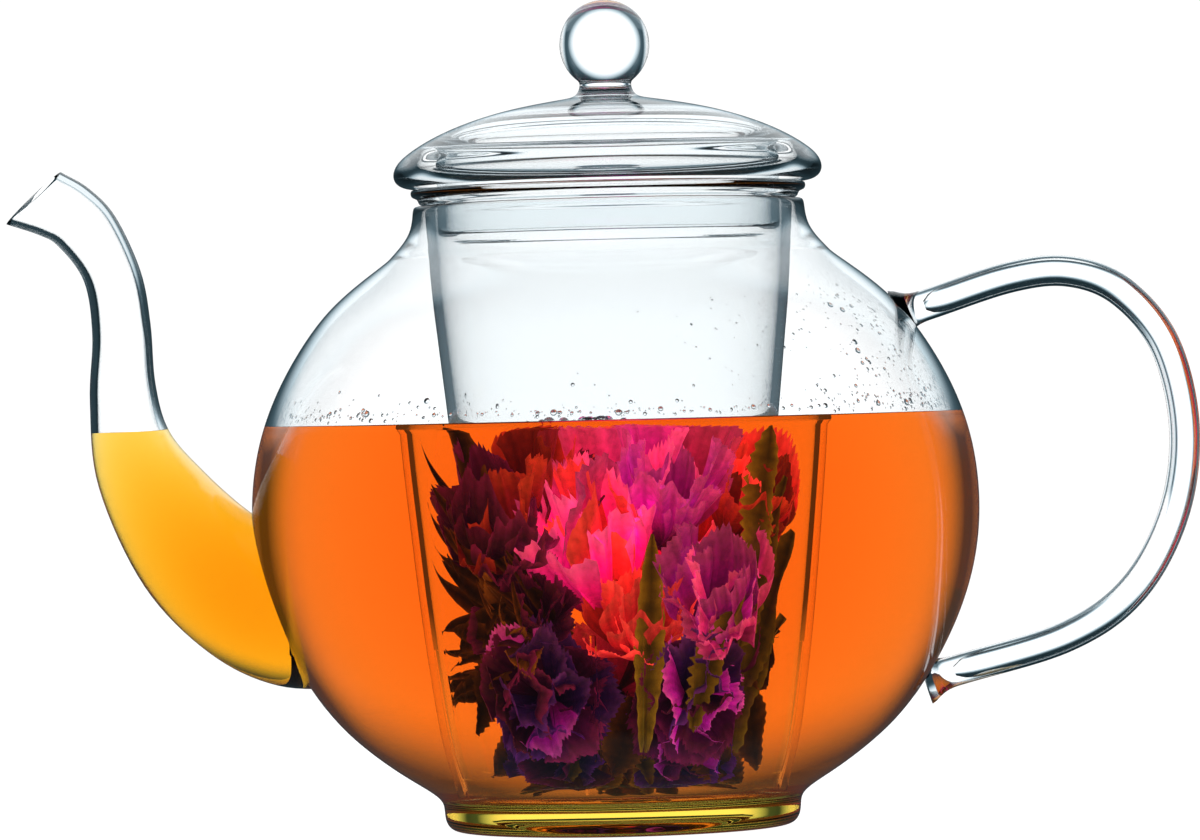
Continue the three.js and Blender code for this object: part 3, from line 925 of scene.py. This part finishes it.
def make_bubbles():
    """Bubbles on the tea against the infuser's near wall, each a small dome of water."""
    chance = random.Random(5)
    points, faces = [], []
    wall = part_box("infuser")[1].x * 0.72
    for i in range(26):
        radius = MM * chance.uniform(0.35, 1.15)
        turn = math.radians(270 + chance.gauss(-12, 11))
        reach = wall - radius - 0.5 * MM - MM * abs(chance.gauss(0, 0.8))
        centre = np.array((reach * math.cos(turn), reach * math.sin(turn), TEA_Z + 0.12 * MM))
        add_dome(points, faces, centre, np.array((0, 0, 1.0)), radius, radius * 0.85)
    bubbles = mesh_object("bubbles", points, faces, WATER)
    bubbles.data.shade_smooth()
    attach(bubbles, "pot")


def make_thread():
    """Cotton thread wound round the leaf bundle: two plies twisted over three turns."""
    low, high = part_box("binding_thread")
    reach = high.x - (high.z - low.z) / 2
    middle = (low.z + high.z) / 2
    ply_r, turns, steps, around = 0.24 * MM, 3, 420, 8
    material, nodes, links, shader = new_material("cotton_thread")
    fibre = add_noise(nodes, links, 2600, 3)
    ramp = nodes.new("ShaderNodeValToRGB")
    ramp.color_ramp.elements[0].color = (0.3, 0.14, 0.04, 1)
    ramp.color_ramp.elements[1].color = (0.75, 0.48, 0.2, 1)
    links.new(fibre.outputs["Fac"], ramp.inputs["Fac"])
    links.new(ramp.outputs["Color"], shader.inputs["Base Color"])
    shader.inputs["Roughness"].default_value = 0.85
    add_bump(nodes, links, shader, fibre.outputs["Fac"], 0.6, 0.0002)
    points, faces = [], []
    for ply in range(2):
        first = len(points)
        for i in range(steps + 1):
            share = i / steps
            turn = 2 * math.pi * turns * share
            twist = 60 * math.pi * share + ply * math.pi
            out = np.array((math.cos(turn), math.sin(turn), 0))
            up = np.array((0, 0, 1.0))
            height = middle + (share - 0.5) * 0.9 * MM
            lean = out * math.cos(twist) + up * math.sin(twist)
            centre = out * reach + up * height + lean * ply_r * 0.8
            for j in range(around):
                a = 2 * math.pi * j / around
                points.append(tuple(centre + ply_r * (out * math.cos(a) + up * math.sin(a))))
        for i in range(steps):
            for j in range(around):
                k = (j + 1) % around
                a, b = first + i * around, first + (i + 1) * around
                faces.append((a + j, a + k, b + k, b + j))
    thread = mesh_object("twisted_thread", points, faces, material)
    thread.data.shade_smooth()
    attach(thread, "infuser")
    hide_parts("binding_thread")


# ---------------------------------------------------------------- studio


SCREEN = 1.4  # how bright the screens are through the glass
GAP_LEVEL = 0.3  # and the dark gaps between them, for light that has crossed the tea
SIDE_LEVEL = 0.8  # the side screens against the back and front ones
REFLECTED_LOW, REFLECTED_HIGH = 0.07, 0.8  # the back screen in level and in rising reflections
BACKDROP = 1.05  # straight to the eye
WALLS_CROSSINGS, TEA_CROSSINGS = 4, 6  # surfaces a ray crosses through two walls, and through the tea


def smooth_step(nodes, links, value, low, high):
    step = nodes.new("ShaderNodeMapRange")
    step.interpolation_type = "SMOOTHSTEP"
    step.inputs["From Min"].default_value = low
    step.inputs["From Max"].default_value = high
    links.new(value, step.inputs["Value"])
    return step.outputs["Result"]


def arithmetic(nodes, links, operation, *values):
    node = nodes.new("ShaderNodeMath")
    node.operation = operation
    for socket, value in zip(node.inputs, values):
        if isinstance(value, (int, float)):
            socket.default_value = value
        else:
            links.new(value, socket)
    return node.outputs[0]


def cosine(degrees):
    return math.cos(math.radians(degrees))


def sine(degrees):
    return math.sin(math.radians(degrees))


def blend(nodes, links, share, first, second):
    """First where the share is 0, second where it is 1."""
    kept = arithmetic(nodes, links, "MULTIPLY", first, arithmetic(nodes, links, "SUBTRACT", 1.0, share))
    return arithmetic(nodes, links, "ADD", kept, arithmetic(nodes, links, "MULTIPLY", second, share))


def screens_all_round(nodes, links, z, to_x, to_y, level):
    """Tall screens behind, in front and at both sides, and a bright floor with a dark ring in it."""
    both = smooth_step(nodes, links, arithmetic(nodes, links, "DIVIDE", to_y, level), cosine(60), cosine(34))
    flank = smooth_step(nodes, links, arithmetic(nodes, links, "DIVIDE", to_x, level), cosine(40), cosine(16))
    flank = arithmetic(nodes, links, "MULTIPLY", flank, SIDE_LEVEL)
    screens = arithmetic(nodes, links, "MAXIMUM", both, flank)
    screens = arithmetic(nodes, links, "MULTIPLY", screens, smooth_step(nodes, links, z, sine(50), sine(20)))
    below = smooth_step(nodes, links, z, sine(-6), sine(-16))
    screens = arithmetic(nodes, links, "MAXIMUM", screens, below)
    ground = smooth_step(nodes, links, z, sine(-66), sine(-42))
    straight_down = smooth_step(nodes, links, z, sine(-68), sine(-78))
    ground = arithmetic(nodes, links, "MAXIMUM", ground, straight_down)
    return arithmetic(nodes, links, "MULTIPLY", screens, ground)


def narrow_cones(nodes, links, z, to_x, to_y):
    """Light only straight behind, in front, beside and below, so that a clear edge draws a dark line."""
    nearest = arithmetic(nodes, links, "MAXIMUM", to_y, to_x)
    nearest = arithmetic(nodes, links, "MAXIMUM", nearest, arithmetic(nodes, links, "MULTIPLY", z, -1.0))
    return smooth_step(nodes, links, nearest, cosine(48), cosine(24))


def reflected_light(nodes, links, y, z, level):
    """Reflections see the back screen only, and mostly where they rise."""
    back = smooth_step(nodes, links, arithmetic(nodes, links, "DIVIDE", y, level), cosine(60), cosine(34))
    rising = smooth_step(nodes, links, z, sine(2), sine(18))
    rising = arithmetic(nodes, links, "MULTIPLY_ADD", rising, REFLECTED_HIGH - REFLECTED_LOW, REFLECTED_LOW)
    rising = arithmetic(nodes, links, "MULTIPLY", rising, smooth_step(nodes, links, z, sine(80), sine(50)))
    return arithmetic(nodes, links, "MULTIPLY", back, rising)


def screen_light(nodes, links, direction, seen):
    """How bright the studio is in a direction: 0 in the gaps, 1 on the screens."""
    split = nodes.new("ShaderNodeSeparateXYZ")
    links.new(direction, split.inputs[0])
    x, y, z = split.outputs
    xx = arithmetic(nodes, links, "MULTIPLY", x, x)
    yy = arithmetic(nodes, links, "MULTIPLY", y, y)
    level = arithmetic(nodes, links, "SQRT", arithmetic(nodes, links, "ADD", xx, yy))
    to_x = arithmetic(nodes, links, "ABSOLUTE", x)
    to_y = arithmetic(nodes, links, "ABSOLUTE", y)
    screens = screens_all_round(nodes, links, z, to_x, to_y, level)
    dimmed = arithmetic(nodes, links, "MULTIPLY", screens, 0.3)
    one_wall = arithmetic(nodes, links, "MAXIMUM", narrow_cones(nodes, links, z, to_x, to_y), dimmed)
    crossings = seen.outputs["Transmission Depth"]
    tea_crossed = arithmetic(nodes, links, "GREATER_THAN", crossings, TEA_CROSSINGS - 0.5)
    gaps = arithmetic(nodes, links, "MULTIPLY", tea_crossed, GAP_LEVEL)
    screens = arithmetic(nodes, links, "MAXIMUM", screens, gaps)
    walls_crossed = arithmetic(nodes, links, "GREATER_THAN", crossings, WALLS_CROSSINGS - 0.5)
    straight = blend(nodes, links, walls_crossed, one_wall, screens)
    bounced = arithmetic(nodes, links, "MAXIMUM", reflected_light(nodes, links, y, z, level), gaps)
    reflected = arithmetic(nodes, links, "GREATER_THAN", seen.outputs["Glossy Depth"], 0.5)
    return blend(nodes, links, reflected, straight, bounced)


def make_world():
    """White to the eye. To the glass it is tall white screens all round with dark gaps between them."""
    world = bpy.data.worlds.new("studio")
    bpy.context.scene.world = world
    world.use_nodes = True
    nodes, links = world.node_tree.nodes, world.node_tree.links
    background = nodes["Background"]
    direction = nodes.new("ShaderNodeTexCoord").outputs["Generated"]
    seen = nodes.new("ShaderNodeLightPath")
    total = screen_light(nodes, links, direction, seen)
    ramp = nodes.new("ShaderNodeValToRGB")
    stops = [
        (0.0, (0.006, 0.014, 0.018, 1)),
        (0.25, (0.05, 0.085, 0.105, 1)),
        (0.6, (0.42, 0.52, 0.57, 1)),
        (1.0, (1, 1, 1, 1)),
    ]
    while len(ramp.color_ramp.elements) < len(stops):
        ramp.color_ramp.elements.new(0.5)
    for element, (place, colour) in zip(ramp.color_ramp.elements, stops):
        element.position = place
        element.color = colour
    links.new(total, ramp.inputs["Fac"])
    mix = nodes.new("ShaderNodeMix")
    mix.data_type = "RGBA"
    links.new(seen.outputs["Is Camera Ray"], mix.inputs["Factor"])
    links.new(ramp.outputs["Color"], mix.inputs["A"])
    mix.inputs["B"].default_value = (1, 1, 1, 1)
    links.new(mix.outputs["Result"], background.inputs["Color"])
    eye = arithmetic(nodes, links, "MULTIPLY", seen.outputs["Is Camera Ray"], BACKDROP - SCREEN)
    links.new(arithmetic(nodes, links, "ADD", eye, SCREEN), background.inputs["Strength"])


def make_floor():
    """A pale floor that the eye sees, and that lets the world's light through from below."""
    material, nodes, links, shader = new_material("pale_floor")
    shader.inputs["Base Color"].default_value = (0.8, 0.8, 0.8, 1)
    shader.inputs["Roughness"].default_value = 0.9
    shader.inputs["Emission Color"].default_value = (1, 1, 1, 1)
    shader.inputs["Emission Strength"].default_value = 0.97
    seen = nodes.new("ShaderNodeLightPath")
    clear = nodes.new("ShaderNodeBsdfTransparent")
    mix = nodes.new("ShaderNodeMixShader")
    links.new(seen.outputs["Is Camera Ray"], mix.inputs["Fac"])
    links.new(clear.outputs["BSDF"], mix.inputs[1])
    links.new(shader.outputs["BSDF"], mix.inputs[2])
    links.new(mix.outputs["Shader"], nodes["Material Output"].inputs["Surface"])
    radius, around = 0.6, 64
    rim = [
        (radius * math.cos(a), radius * math.sin(a), 0)
        for a in np.arange(around) * 2 * math.pi / around
    ]
    mesh_object("floor", rim, [tuple(range(around))], material)


def make_camera():
    scene = bpy.context.scene
    camera = bpy.data.cameras.new("camera")
    camera.lens = 202.5
    camera.sensor_width = 36
    camera.clip_end = 50
    holder = bpy.data.objects.new("camera", camera)
    holder.location = (-2.7 * MM, -1.35, 81.6 * MM)
    holder.rotation_euler = (math.radians(90), math.radians(1.4), 0)
    scene.collection.objects.link(holder)
    scene.camera = holder
    scene.view_settings.view_transform = "Standard"
    scene.cycles.max_bounces = 32
    scene.cycles.transmission_bounces = 32
    scene.cycles.glossy_bounces = 8


make_pot()
make_tea()
make_infuser()
make_lid()
make_blossom()
make_thread()
make_condensation()
make_bubbles()
make_world()
make_floor()
make_camera()
